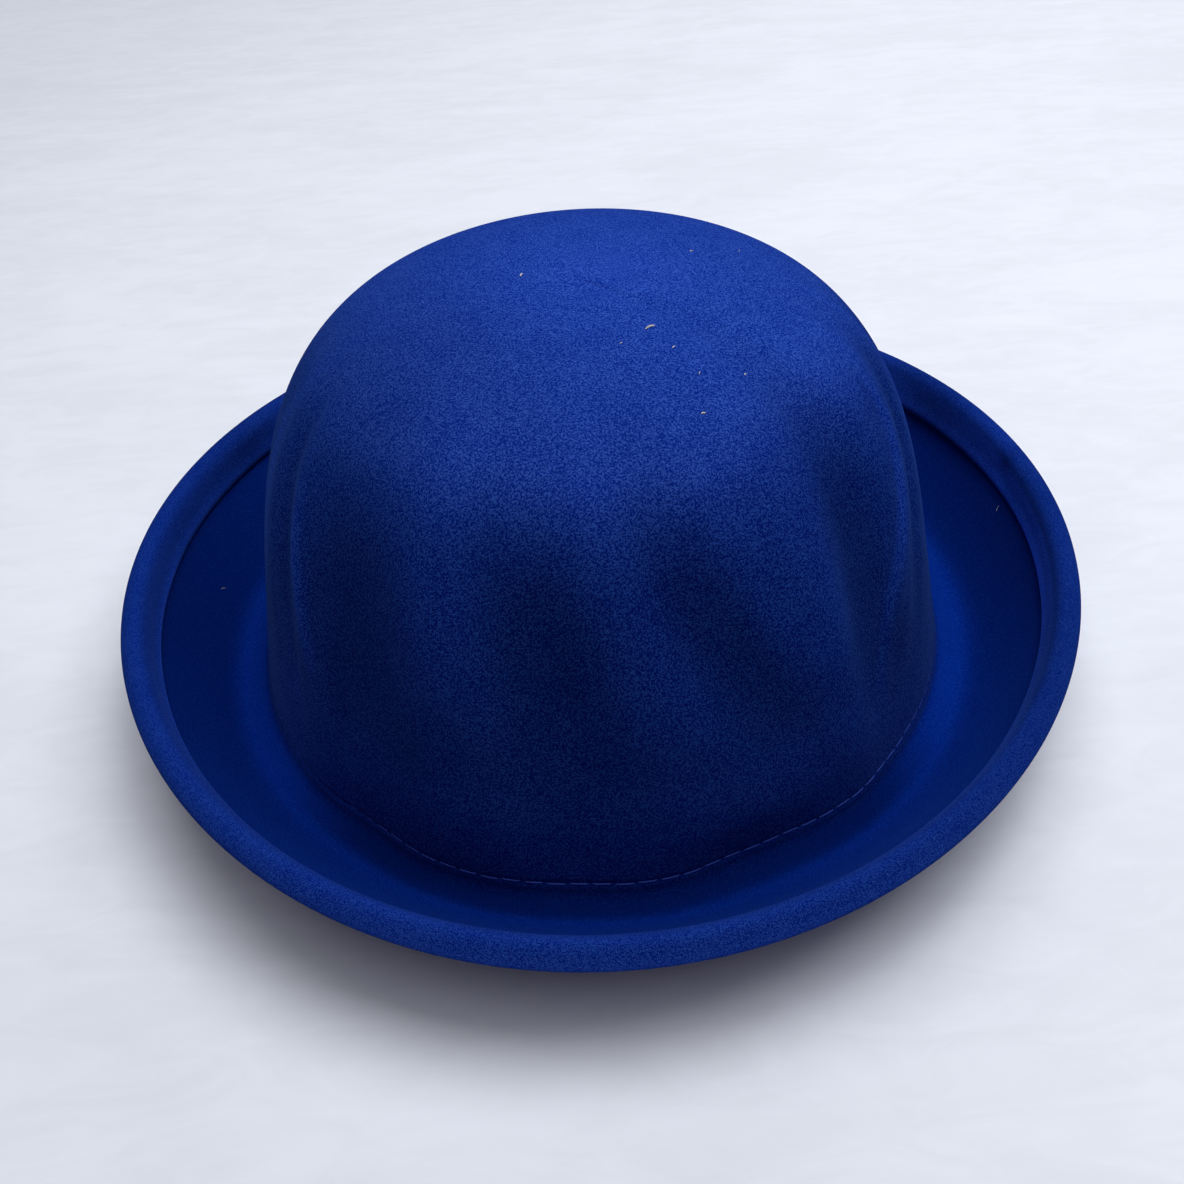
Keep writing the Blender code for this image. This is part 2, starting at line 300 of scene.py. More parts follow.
# Hollows and swellings that handling has left in the crown: direction (degrees, -90 is the front),
# height (mm), lean (degrees a mm), half width (degrees), reach up and down (mm), depth out (mm)
DENTS = (
    (-132, 48, -0.12, 10.0, 32, 26, -3.2),   # left flute
    (-101, 56, -0.16, 9.0, 25, 30, -3.4),    # front left flute
    (-73, 56, -0.28, 7.0, 27, 30, -3.3),     # front right flute
    (-43, 58, 0, 7.5, 32, 34, -3.6),      # right flute
    (-153, 58, -0.18, 2.6, 24, 28, -1.5),    # narrow fold at the left, between two ridges
    (-147, 58, -0.2, 1.8, 22, 26, 0.9),
    (-160, 58, -0.15, 2.4, 24, 34, 0.7),
    (-20, 58, 0.35, 3.4, 26, 26, -1.8),      # narrow fold at the right, beside a ridge
    (-29, 58, 0.4, 2.0, 26, 26, 0.9),
    (-118, 60, 0, 5.0, 24, 30, 0.6),      # ribs between the flutes
    (-86, 54, -0.15, 5.5, 28, 30, 0.6),
    (-56, 56, -0.1, 4.5, 28, 34, 0.9),
    (-112, 15, 0, 11.0, 14, 14, 1.4),     # swellings above the seam
    (-84, 15, 0, 10.0, 14, 14, 1.2),
    (-57, 18, 0, 13.0, 13, 13, 1.3),
    (-71, 2, 0, 11.0, 10, 9, -2.0),       # hollows in the seam
    (-130, 3, 0, 6.5, 9, 9, -0.9),
)

# Painted highlights on ridges and the wall's foot, the same way: the last figure is how light, and
# painted shade below 0
PAINTED_SHADING_MARKS = (
    (-147.5, 60, -0.2, 1.2, 15, 28, 0.55),  # ridges of the fold at the left
    (-166, 52, -0.1, 3.0, 30, 36, 0.6),
    (-30, 60, 0.4, 1.5, 24, 30, 0.45),      # ridges of the fold at the right
    (-10, 58, 0.3, 2.2, 26, 30, 0.5),
    (-155, 18, 0, 12.0, 16, 18, 0.3),    # foot of the wall at the left
    (-144, 12, 0, 20.0, 20, 14, 0.35),    # foot of the wall at the front left
    (-150, 26, 0, 9.0, 18, 20, 0.4),
    (-128, 36, 0, 7.0, 14, 14, 0.15),
    (-88, 66, 0, 13.0, 15, 18, -0.16),    # upper ends of the ribs
    (-52, 58, 0, 4.0, 16, 16, 0.1),
)

# Patches of painted highlight and painted shade on the crown's top: place to the right and back
# (mm), radius (mm), how light
PAINTED_TOP_PATCHES = ((6, 2, 30, 0.24), (-45, -28, 34, -0.2), (-75, 0, 30, -0.12), (50, -32, 26, 0.08))

# Levels of the painted light and shade on the felt: even, and the lightest
EVEN_SHADING, MOST_SHADING = 0.5, 1.3
DENT_PER_SHADING = 11 * MM  # a hollow this deep is painted a whole step of shade darker


def pushed(marks, turn, height):
    """The sum of marks on the crown at an angle in radians and a height."""
    turn, height = np.degrees(turn), height / MM
    total = np.zeros(np.broadcast(turn, height).shape)
    for direction, middle, lean, half_width, above, below, amount in marks:
        rise = height - middle
        aside = turned_by(turn, direction + lean * rise) / half_width
        upright = np.where(rise > 0, mesa(rise / above), hill(rise / below))
        total += amount * mesa(aside) * upright
    return total


def dent(turn, height):
    """How far the crown is pushed out."""
    return pushed(DENTS, turn, height) * MM


def painted_shading(turn, height, grid):
    """Painted light and shade on the crown: painted shade toward 0 in the hollows, a half where even,
    painted marks and patches up or down.
    """
    clear_of_seam = eased(height, 8 * MM, 10 * MM)
    shaded = dent(turn, height) / DENT_PER_SHADING * clear_of_seam
    shading = EVEN_SHADING + shaded + pushed(PAINTED_SHADING_MARKS, turn, height)
    topmost = eased(height, 70 * MM, 20 * MM)
    for right, back, radius, amount in PAINTED_TOP_PATCHES:
        away = np.hypot(grid[..., 0] - right * MM, grid[..., 1] - back * MM) / (radius * MM)
        shading = shading + amount * hill(away) * topmost
    return np.clip(shading, 0.0, MOST_SHADING)


def half_wall(felt):
    """From the middle of the wall's felt to its face, measured level."""
    return felt.thickness / 2 / cos(felt.wall_rake)


def wall_radius(felt, half_size, height):
    """Half the width of the even wall at a height, to the middle of the felt."""
    return half_size - half_wall(felt) - (height - felt.seam_height) * tan(felt.wall_rake)


def on_wall(felt, turn, height, inset):
    """Points on the dented wall, in from the middle of the felt."""
    turn, height, inset = np.broadcast_arrays(turn, height, inset)
    inward = inset - dent(turn, height)
    half_width = wall_radius(felt, felt.head_width, height) - inward
    half_length = wall_radius(felt, felt.head_length, height) - inward
    return np.stack((half_width * np.cos(turn), half_length * np.sin(turn), height), axis=-1)


def outward_at(felt, turn):
    """Directions straight out from the wall."""
    across, along = felt.head_length * np.cos(turn), felt.head_width * np.sin(turn)
    return unit(np.stack((across, along, 0 * turn), axis=-1))


def even_turns(felt, count):
    """Directions that stand evenly along the oval, from the centre back."""
    fine = np.linspace(BACK, BACK + 2 * pi, 4001)
    pace = np.hypot(felt.head_width * np.sin(fine), felt.head_length * np.cos(fine))
    run = np.concatenate(([0.0], np.cumsum((pace[1:] + pace[:-1]) / 2)))
    return np.interp(np.arange(count) / count * run[-1], run, fine)


# ---- felt hood

# Rows of points down the felt, from the crown's top to the hem's raw edge
DOME_ROWS, WALL_ROWS, FOOT_ROWS, CREASE_ROWS, RING_ROWS = 84, 26, 16, 12, 3
BRIM_ROWS, FOLD_ROWS, HEM_ROWS = 44, 18, 24
WALL_END = DOME_ROWS + WALL_ROWS + FOOT_ROWS
FOLD_START = WALL_END + CREASE_ROWS + RING_ROWS + BRIM_ROWS
HEM_START = FOLD_START + FOLD_ROWS
RAW_EDGE = HEM_START + HEM_ROWS
FELT_SEGMENTS = 720

FOOT_ABOVE_SEAM = 3 * MM  # where the wall's rows stand closer, down to the crease
SEAM_PRESS = 0.30 * MM  # how deep the stitches press the felt in
SEAM_HALF_WIDTH = 0.7 * MM
EDGE_BULGE = 0.6  # how far the raw edge stands out, of the last row's step


def felt_section(felt, half_size, rim_out, rim_height, slope):
    """The middle line of the felt from the crown's top to the raw edge, one point a row."""
    rake, middle = felt.wall_rake, felt.thickness / 2
    top = CAD_HIGH.z - middle
    shoulder = wall_radius(felt, half_size, felt.wall_top)
    pull = felt.shoulder * (top - felt.wall_top)
    dome = bezier(
        (0.0, top), (felt.dome_top * shoulder, top),
        (shoulder - pull * sin(rake), felt.wall_top + pull * cos(rake)),
        (shoulder, felt.wall_top), DOME_ROWS,
    )
    ring_start = wall_radius(felt, half_size, middle) + felt.crease * tan((pi / 2 - rake) / 2)
    crease = arc((ring_start, middle + felt.crease), felt.crease, pi + rake, 1.5 * pi, CREASE_ROWS)
    foot = 1 - (felt.seam_height + FOOT_ABOVE_SEAM - crease[0][1]) / (felt.wall_top - crease[0][1])
    share_down = np.concatenate((
        np.linspace(0, foot, WALL_ROWS + 1), np.linspace(foot, 1, FOOT_ROWS + 1)[1:]))
    wall = dome[-1] + (crease[0] - dome[-1]) * share_down[:, None]
    ring = crease[-1] + np.column_stack((
        np.linspace(0, felt.rest_ring, RING_ROWS + 1), np.zeros(RING_ROWS + 1)))
    centre = np.array((rim_out - felt.fold - middle, rim_height))
    fold_start = centre + felt.fold * np.array((sin(slope), -cos(slope)))
    width = np.linalg.norm(fold_start - ring[-1])
    brim = bezier(
        ring[-1], ring[-1] + felt.start_pull * width * np.array((1.0, 0.0)),
        fold_start - felt.end_pull * width * np.array((cos(slope), sin(slope))), fold_start, BRIM_ROWS,
    )
    fold = arc(centre, felt.fold, slope - pi / 2, slope + pi / 2, FOLD_ROWS)
    flap = hem_section(felt, brim)
    return np.vstack((dome, wall[1:], crease[1:], ring[1:], brim[1:], fold[1:], flap))


def hem_section(felt, brim):
    """The turned hem: it runs back down the brim at a spacing that closes from the fold."""
    steps = np.linalg.norm(np.diff(brim, axis=0), axis=1)
    back_from_end = np.concatenate(([0.0], np.cumsum(steps[::-1])))
    down = np.linspace(0, felt.hem_depth, HEM_ROWS + 1)[1:]
    line = np.column_stack([np.interp(down, back_from_end, brim[::-1, axis]) for axis in (0, 1)])
    heading = unit(np.gradient(line, axis=0))
    closed = smooth_step(down / felt.hem_neck)
    spacing = 2 * felt.fold + (felt.thickness + felt.hem_slit - 2 * felt.fold) * closed
    return line + spacing[:, None] * np.column_stack((heading[:, 1], -heading[:, 0]))


def felt_middle(felt, turn):
    """The middle surface of the felt: rows from the crown's top out to the raw edge, by angle."""
    side = felt_section(felt, felt.head_width, CAD_HIGH.x, felt.side_rim, felt.side_slope)
    front = felt_section(felt, felt.head_length, CAD_HIGH.y, felt.front_rim, felt.front_slope)
    across, along = np.cos(turn), np.sin(turn)
    return np.stack((
        side[:, :1] * across,
        front[:, :1] * along,
        side[:, 1:] * across ** 2 + front[:, 1:] * along ** 2,
    ), axis=-1)


def surface_normals(grid):
    """Outward normals of a grid whose columns close on themselves."""
    around = np.roll(grid, -1, axis=1) - np.roll(grid, 1, axis=1)
    normals = np.cross(np.gradient(grid, axis=0), around)
    normals[0] = (0.0, 0.0, 1.0)
    return unit(normals)


def handled(grid, turn):
    """Push the crown in and out; its foot takes the brim's root along."""
    push = np.zeros(grid.shape)
    crown = slice(0, WALL_END + 1)
    height = grid[crown][..., 2]
    push[crown] = surface_normals(grid)[crown] * dent(turn, height)[..., None]
    push[crown, :, 2] *= eased(height, 6 * MM, 20 * MM)
    rest = np.arange(1, len(grid) - WALL_END)
    fade = 1 - smooth_step(rest / (CREASE_ROWS + RING_ROWS + 0.5 * BRIM_ROWS))
    push[WALL_END + 1:] = push[WALL_END] * fade[:, None, None]
    return grid + push


# How the raw edge of the hem strays: direction (degrees), half width (degrees), lift (mm)
EDGE_LIFTS = ((24, 14, 1.5), (150, 20, 0.2), (75, 20, 0.5))
# One pinched wrinkle in the hem, the same way: the last figure is its depth
HEM_WRINKLE = (6, 1.4, 0.7)
# How unevenly the hem is cut, of its depth: waves round the hat, where they start, share
EDGE_CUT = 0.02
CUT_WAVES = ((3, 1, 0.5), (7, 0, 0.3), (17, 2, 0.2))


def uneven_hem(grid, turn):
    """Cut the raw edge a little unevenly, lift it here and there, and pinch one wrinkle in it."""
    rows = np.arange(HEM_START, len(grid))
    share_down = (rows - HEM_START) / HEM_ROWS
    waves = sum((np.sin(number * turn + start) * part for number, start, part in CUT_WAVES), 1)
    cut = 1 - EDGE_CUT * waves
    place = HEM_START + (rows - HEM_START)[:, None] * cut
    low = np.floor(place).astype(int)
    part = (place - low)[..., None]
    columns = np.arange(grid.shape[1])
    out = grid.copy()
    out[HEM_START:] = (
        grid[low, columns] * (1 - part) + grid[np.minimum(low + 1, RAW_EDGE), columns] * part)
    lift = sum(height * hill_round(turn, middle, width) for middle, width, height in EDGE_LIFTS)
    middle, width, depth = HEM_WRINKLE
    pinch = depth * hill_round(turn, middle, width)
    rise = smooth_step(share_down)[:, None] * lift - np.sin(pi * share_down)[:, None] * pinch
    out[HEM_START:] -= surface_normals(out)[HEM_START:] * rise[..., None] * MM
    return out


def rounded_off(place, least):
    """A quarter round from the least share at 0 up to all at 1."""
    return least + (1 - least) * np.sqrt(1 - (1 - np.clip(place, 0.0, 1.0)) ** 2)


def felt_halves(felt, grid):
    """Half the felt's thickness at each point: pressed at the seam, rounded at the raw edge."""
    half = np.full(grid.shape[:2], felt.thickness / 2)
    outer = half.copy()
    outer[:WALL_END + 1] -= SEAM_PRESS * hill(
        (grid[:WALL_END + 1, :, 2] - felt.seam_height) / SEAM_HALF_WIDTH)
    to_edge = np.linalg.norm(grid - grid[-1], axis=-1)
    to_edge[:HEM_START] = 1.0
    inner = half * rounded_off(to_edge / (2.4 * MM), 0.08)
    outer *= rounded_off(to_edge / (0.7 * MM), 0.5)
    return outer, inner


def build_felt(felt):
    """The felt as one closed skin, with its painted light and shade and its finer grain kept on its
    points.
    """
    turn = np.linspace(0, 2 * pi, FELT_SEGMENTS, endpoint=False)
    even = felt_middle(felt, turn)
    grid = uneven_hem(handled(even, turn), turn)
    normals = surface_normals(grid)
    outside, inside = felt_halves(felt, grid)
    outer = grid + normals * outside[..., None]
    inner = grid - normals * inside[..., None]
    edge = grid[-1] + (grid[-1] - grid[-2]) * EDGE_BULGE
    rings = np.concatenate((outer[1:], edge[None], inner[:0:-1]))
    data = closed_skin(rings, outer[0, 0], inner[0, 0])
    paint_light_and_grain(data, grid, surface_normals(even)[..., 2], turn)
    return data


# ---- painted light and shade on the felt

# Painted light and shade on the hem: direction (degrees), half width (degrees), amount, and
# how much of it keeps to the flap
HEM_PAINTED_SHADING = (
    (24, 7, -0.7, 1), (14, 7, -0.45, 1), (152, 8, -0.7, 0.7), (165, 9, -0.25, 0.8), (38, 6, 0.4, 0),
    (11, 8, 0.38, 0), (-12, 14, 1.00, 0.8), (180, 16, -0.1, 1), (6, 1.1, -0.15, 0),
)

# The crown's shoulder, above which the crown takes the painted top light (mm), and where it is higher
SHOULDER, SHOULDER_SPAN = 80, 10
SHOULDER_RISE, RISE_DIRECTION, RISE_HALF_WIDTH = 5, -48, 14

GUTTER_BOTTOM = 17  # rows from the foot of the wall to the bottom of the gutter
FOLD_FACE = HEM_START - 13  # the row of the fold that faces outward and down
# the darkest painted shade on the hem
LEAST_HEM_SHADING = 0.1


def painted_top_share(facing, height, turn):
    """How much painted top light the crown gets: by how it faces up, and above the shoulder."""
    start = SHOULDER_RISE * hill_round(turn, RISE_DIRECTION, RISE_HALF_WIDTH)
    above = smooth_step((height / MM - SHOULDER - start) / SHOULDER_SPAN)
    return 0.6 * eased(facing, 0.45, 0.53) + 0.4 * above


def brim_painted_shading(out, turn, sides):
    """Painted light and shade on the brim, by rows from the foot of the wall: a painted highlight on
    the ring at the gutter's bottom, painted shade at the sides and next to the wall.
    """
    aside = eased(sides, 0.35, 0.45)
    plain = EVEN_SHADING - 0.26 * sides ** 4 + 0.06 * np.cos(turn)
    ring = hill((out - GUTTER_BOTTOM) / np.where(out < GUTTER_BOTTOM, 5 + 12 * aside, 6))
    shading = plain + (0.62 + 0.28 * aside - plain) * ring
    return shading * (1 - (1 - aside) * (1 - eased(out, 13, 9)))


def hem_painted_shading(rows, turn, sides, face):
    """Painted light and shade on the fold and on the hem's flap: a painted highlight on the raw edge,
    and painted patches round the hat.
    """
    flap = eased(rows, HEM_START + 1, 6)
    shading = EVEN_SHADING - 0.06 * sides - 0.14 * np.cos(turn) + (0.55 * sides + 0.19 * np.cos(turn)) * flap
    to_front = sides * (1 - eased(np.sin(turn), -0.05, 0.2))
    edge = 0.25 * hill((rows - RAW_EDGE) / 9) + 1.2 * to_front * hill((rows - RAW_EDGE) / 2.5)
    ends = 0.06 + 0.35 * eased(rows, HEM_START - 6, 6) + 0.5 * face
    shading = shading + (1 - sides) * ends + edge
    return shading + sum(
        amount * hill_round(turn, middle, width) * (1 - part + part * flap)
        for middle, width, amount, part in HEM_PAINTED_SHADING)


def paint_light_and_grain(data, grid, facing, turn):
    """Keep the painted light and shade, and where the grain is finer, at each point.

    One mask is 1 on the crown's top, a painted light; one is 1 between the crown and the hem, a
    painted shade; hem is 1 on the fold and the flap; and one is 0 in the hollows, a painted shade,
    and 1 on the ridges, a painted highlight.
    """
    rows = np.arange(len(grid))[:, None]
    crown = 1 - eased(rows, WALL_END - 10, 20)
    hem = eased(rows, FOLD_START, 8)
    sides = np.cos(turn) ** 2
    face = hill((rows - FOLD_FACE) / 4)
    height = grid[..., 2]
    # painted light: the crown lighter where it faces up, and the fold's outer face lighter
    painted_top_light = painted_top_share(facing, height, turn) * crown + (0.4 * sides + 0.4 * (1 - sides) * face) * hem
    # painted shade: the gutter, and half the fold and flap at the sides, take the shaded gutter colours
    gutter = eased(rows, WALL_END - 14, 24) * (1 - eased(rows, FOLD_START, 6)) + 0.5 * sides * hem
    folded = np.maximum(hem_painted_shading(rows, turn, sides, face), LEAST_HEM_SHADING)
    out = brim_painted_shading(rows - WALL_END, turn, sides) * (1 - hem) + folded * hem
    shading = painted_shading(turn, height, grid) * crown + out * (1 - crown)
    for name, values, inside in (
        ("painted_top_light", painted_top_light, 0.0), ("gutter", gutter, 0.0), ("painted_shading", shading, EVEN_SHADING),
        ("hem", np.broadcast_to(hem, height.shape), 0.0),
    ):
        hidden = inside + (values[:0:-1] - inside) * hem[:0:-1]
        rings = np.concatenate((values[1:], values[-1:], hidden))
        layer = data.attributes.new(name, "FLOAT", "POINT")
        layer.data.foreach_set("value", np.concatenate((values[:1, 0], rings.ravel(), [inside])))


# ---- wire

WIRE_POINTS, WIRE_SIDES = 721, 12
WIRE_END = 0.8  # the wire's ends are filed down to this share of its radius
JOINER_POINTS, JOINER_SIDES = 61, 24
CRIMP_PLACES = (-0.55, 0.55)  # shares of the half length, from the joiner's middle
CRIMP_DEPTH, CRIMP_HALF_WIDTH = 0.10 * MM, 0.9 * MM
JOINER_END_ROLL = 0.06 * MM


def rim_path(felt, turn):
    """The middle of the fold, where the wire runs."""
    middle = felt.thickness / 2
    side, front = CAD_HIGH.x - felt.fold - middle, CAD_HIGH.y - felt.fold - middle
    height = felt.side_rim * np.cos(turn) ** 2 + felt.front_rim * np.sin(turn) ** 2
    return np.stack((side * np.cos(turn), front * np.sin(turn), height), axis=-1)


def build_wire(felt, trim):
    """The brim wire: a ring with a small gap at the back."""
    half_gap = trim.wire_gap / 2 / CAD_HIGH.x
    turn = np.linspace(BACK + half_gap, BACK + 2 * pi - half_gap, WIRE_POINTS)
    radii = np.full(len(turn), trim.wire / 2)
    radii[[0, -1]] *= WIRE_END
    return tubes(rim_path(felt, turn)[None], (0.0, 0.0, 1.0), radii, WIRE_SIDES)


def build_joiner(felt, trim):
    """A thin tube, its two ends rolled in a little, with a crimp near each."""
    reach = trim.joiner_length / 2
    outer = trim.wire / 2 + trim.joiner_clearance + trim.joiner_wall
    along = np.linspace(-reach, reach, JOINER_POINTS)
    path = rim_path(felt, BACK + along / CAD_HIGH.x)
    crimps = sum(hill((along - place * reach) / CRIMP_HALF_WIDTH) for place in CRIMP_PLACES)
    outside = outer - CRIMP_DEPTH * crimps
    inside = outside - trim.joiner_wall
    outside[[0, -1]] -= JOINER_END_ROLL
    spokes = spokes_round(path, (0.0, 0.0, 1.0), JOINER_SIDES)
    skin = [path[:, None] + spokes * radius[:, None, None] for radius in (outside, inside)]
    return torus_skin(np.concatenate((skin[0], skin[1][::-1])))


# ---- ribbon and stitches

RIBBON_ROWS = np.concatenate(([0.0, 0.012, 0.035], np.linspace(0.08, 0.92, 15), [0.965, 0.988, 1.0]))
RIBBON_EDGE = 0.03  # share of the width over which its edges thin
RIBBON_SLACK = 0.25 * MM
SLACK_WAVES = ((9, 0.6), (23, 0.4))


def lap_angle(felt, trim):
    return trim.ribbon_lap / felt.head_width


def ribbon_step(felt, trim, turn):
    """How far the ribbon's lapping end stands in from the rest of the ribbon."""
    lap = lap_angle(felt, trim)
    before_lap = BACK + 2 * pi - lap / 2 - turn
    return (trim.ribbon + trim.lap_clearance) * smooth_step(1 - before_lap / lap)


def ribbon_outside(felt, trim):
    """How far the ribbon's outer face stands in from the middle of the felt."""
    return half_wall(felt) + trim.ribbon_clearance


def build_ribbon(felt, trim):
    """Ribbed ribbon round the inside of the crown, its ends lapped at the back."""
    lap = lap_angle(felt, trim)
    count = int(2 * pi * felt.head_length / trim.rib_pitch)
    turn = np.linspace(BACK - lap / 2, BACK + 2 * pi + lap / 2, 4 * count + 1)
    rows = RIBBON_ROWS
    rib = np.cos(np.arange(len(turn)) * pi / 2 + pi / 4)
    near_edge = hill(rows / RIBBON_EDGE) + hill((1 - rows) / RIBBON_EDGE)
    foot = felt.seam_height - trim.ribbon_edge * cos(felt.wall_rake)
    picots = trim.picot * 0.5 * rib * (near_edge * np.sign(rows - 0.5))[:, None]
    height = np.maximum(foot + (rows[:, None] * trim.ribbon_width + picots) * cos(felt.wall_rake), foot)
    waves = sum((np.sin(number * turn) * part for number, part in SLACK_WAVES), 1)
    slack = RIBBON_SLACK * rows[:, None] ** 3 * waves
    middle = ribbon_outside(felt, trim) + trim.ribbon / 2 + ribbon_step(felt, trim, turn) + slack
    half = trim.ribbon / 2 - trim.rib_relief / 2 + trim.rib_relief / 2 * rib
    half = half * (1 - 0.35 * near_edge)[:, None]
    inner = on_wall(felt, turn, height, middle + half)
    outer = on_wall(felt, turn, height, middle - half)
    rings = np.concatenate((inner, outer[::-1])).transpose(1, 0, 2)
    return mesh_from(rings.reshape(-1, 3), capped_rings(0, *rings.shape[:2]))


STITCH_STEPS = np.linspace(-1, 1, 13)
SEAM_DIP, LAP_DIP = 3.4, 3.0  # how far a stitch's ends go down, in radii of the thread
# How the row of stitches wanders up and down: distance (mm), how fast it changes
SEAM_WANDER = ((0.12, 37.0), (0.06, 91.0))
# How deep the outside stitches lie in the nap (mm): at the sides and the back, at the front left
SUNK_ASIDE, SUNK_LEFT = 0.21, 0.08
LAP_STITCHES = 7
LAP_STITCH_SHARE = 0.41  # half a stitch, of the pitch
LAP_SEAM_INSET, LAP_SEAM_FOOT, LAP_SEAM_TOP = 2.5 * MM, 1.5 * MM, 2.2 * MM


def nap_over(turn):
    """How far the outside stitches have sunk in the nap: least at the front."""
    aside = np.abs(turned_by(np.degrees(turn), -84))
    return (SUNK_ASIDE * eased(aside, 34, 22) + SUNK_LEFT * hill_round(turn, -132, 12)) * MM


def stitch_row(felt, trim, turn, height, face, dip, inside):
    """Stitches on a face of the crown: flat, then down into the cloth at their ends."""
    inset = face + trim.thread * (0.75 - dip * STITCH_STEPS ** 8)
    side = -1 if inside else 1
    paths = on_wall(felt, turn, height, inset * -side)
    radii = trim.thread * (1 - 0.25 * STITCH_STEPS ** 6)
    return tubes(paths, outward_at(felt, turn) * side, radii)


def round_seam(felt, trim, turns, face, inside):
    """A row of stitches round the crown, on a face so far from the felt's middle."""
    turn = turns[:, None] + trim.stitch_length / 2 / felt.head_width * STITCH_STEPS
    wander = sum(distance * MM * np.sin(turns * pace)[:, None] for distance, pace in SEAM_WANDER)
    height = felt.seam_height + wander + 0 * turn
    return stitch_row(felt, trim, turn, height, face(turn), SEAM_DIP, inside)


def build_outside_seam(felt, trim):
    pressed = half_wall(felt) - SEAM_PRESS
    turns = even_turns(felt, trim.stitches)
    return round_seam(felt, trim, turns, lambda turn: pressed - nap_over(turn), False)


def build_inside_seam(felt, trim):
    face = ribbon_outside(felt, trim) + trim.ribbon
    turns = even_turns(felt, trim.stitches)[2:] + pi / trim.stitches
    return round_seam(felt, trim, turns, lambda turn: face + ribbon_step(felt, trim, turn), True)


def build_lap_seam(felt, trim):
    """The upright row of stitches that closes the ribbon's lap."""
    direction = BACK + lap_angle(felt, trim) / 2 - LAP_SEAM_INSET / felt.head_width
    low = felt.seam_height + LAP_SEAM_FOOT
    ribbon_above = trim.ribbon_width - trim.ribbon_edge - LAP_SEAM_TOP
    high = felt.seam_height + ribbon_above * cos(felt.wall_rake)
    pitch = (high - low) / LAP_STITCHES
    middles = low + pitch * (np.arange(LAP_STITCHES) + 0.5)
    height = middles[:, None] + pitch * LAP_STITCH_SHARE * STITCH_STEPS
    face = ribbon_outside(felt, trim) + 2 * trim.ribbon + trim.lap_clearance
    turn = np.full(height.shape, direction)
    return stitch_row(felt, trim, turn, height, face, LAP_DIP, True)


# ---- lint

# Specks and stray fibres: distance from the middle to the right and to the back (mm),
# length (mm), half width (mm), turn (degrees)
LINT = (
    (-12.6, 3.5, 1.5, 0.22, 70), (14.9, -26.0, 2.6, 0.26, 35), (28.6, 12.7, 0.9, 0.16, 10),
    (40.7, 15.8, 0.7, 0.14, 80), (8.3, -31.9, 0.6, 0.13, 20), (19.3, -33.8, 1.0, 0.13, 55),
    (23.8, -42.4, 0.8, 0.13, 75), (33.7, -40.3, 0.9, 0.15, 60), (23.2, -53.5, 1.1, 0.19, 15),
    (-106.5, 12.9, 1.6, 0.06, 60), (113.5, 9.0, 1.2, 0.06, 45),
)
LINT_STEPS = np.linspace(-1, 1, 9)
LINT_SIDES = 6
LINT_BOW = 0.12  # how far a fibre bends aside, of its length
ABOVE_HAT = 0.2


def build_lint(hood):
    """Small crooked fibres that lie on the felt."""
    taper = np.sqrt(np.clip(1 - 0.85 * LINT_STEPS ** 2, 0.05, 1))
    paths, normals, radii = [], [], []
    for right, back, long, half_width, heading in LINT:
        spin = radians(heading)
        along, bow = long / 2 * LINT_STEPS, LINT_BOW * long * LINT_STEPS ** 2
        across = right + along * cos(spin) + bow * sin(spin)
        behind = back + along * sin(spin) - bow * cos(spin)
        hits = [
            hood.ray_cast(Vector((x, y, ABOVE_HAT)), Vector((0, 0, -1)))[1:3]
            for x, y in zip(across * MM, behind * MM)]
        paths.append([place + normal * half_width * 0.5 * MM for place, normal in hits])
        normals.append([normal for _, normal in hits])
        radii.append(half_width * MM * taper)
    return tubes(np.array(paths), np.array(normals), np.array(radii), LINT_SIDES)


# ---- shader nodes

BLACK, WHITE = (0, 0, 0, 1), (1, 1, 1, 1)


def effect_group(name, **inputs):
    """An empty shader group that puts out a colour and a height, and its two end nodes."""
    group = bpy.data.node_groups.new(name, "ShaderNodeTree")
    new_socket = group.interface.new_socket
    for socket, default in inputs.items():
        kind = "NodeSocketFloat" if isinstance(default, float) else "NodeSocketColor"
        new_socket(socket, in_out="INPUT", socket_type=kind).default_value = default
    new_socket("Color", in_out="OUTPUT", socket_type="NodeSocketColor")
    new_socket("Height", in_out="OUTPUT", socket_type="NodeSocketFloat")
    return group, group.nodes.new("NodeGroupInput"), group.nodes.new("NodeGroupOutput")


def add_node(tree, kind, links=(), **settings):
    """A node with its settings; links maps its inputs to sockets or plain values."""
    node = tree.nodes.new("ShaderNode" + kind)
    for key, value in settings.items():
        setattr(node, key, value)
    for key, value in dict(links).items():
        if isinstance(value, bpy.types.NodeSocket):
            tree.links.new(value, node.inputs[key])
        else:
            node.inputs[key].default_value = value
    return node


def maths(tree, operation, *values, **settings):
    """The result of one sum on sockets or plain numbers."""
    links = dict(enumerate(values))
    return add_node(tree, "Math", links, operation=operation, **settings).outputs[0]


def noise(tree, place, scale, detail, **more):
    """How strong a noise is at a place."""
    links = {"Vector": place, "Scale": scale, "Detail": detail, **more}
    return add_node(tree, "TexNoise", links).outputs["Fac"]


def mixed(tree, share_of_b, a, b):
    """The colour between a and b."""
    return add_node(tree, "Mix", {"Factor": share_of_b, 6: a, 7: b}, data_type="RGBA").outputs[2]


def spread(tree, value, low, high, to_low=0.0, to_high=1.0):
    """A value stretched softly from low..high to 0..1, or to other ends."""
    return add_node(tree, "MapRange", {
        "Value": value, "From Min": low, "From Max": high, "To Min": to_low, "To Max": to_high,
    }, interpolation_type="SMOOTHSTEP").outputs[0]


def scaled(tree, shade, factor):
    """A colour made lighter or darker."""
    links = {0: shade, "Scale": factor}
    return add_node(tree, "VectorMath", links, operation="SCALE").outputs["Vector"]


def painted(tree, name):
    """An attribute kept on the points."""
    return add_node(tree, "Attribute", attribute_name=name).outputs["Fac"]


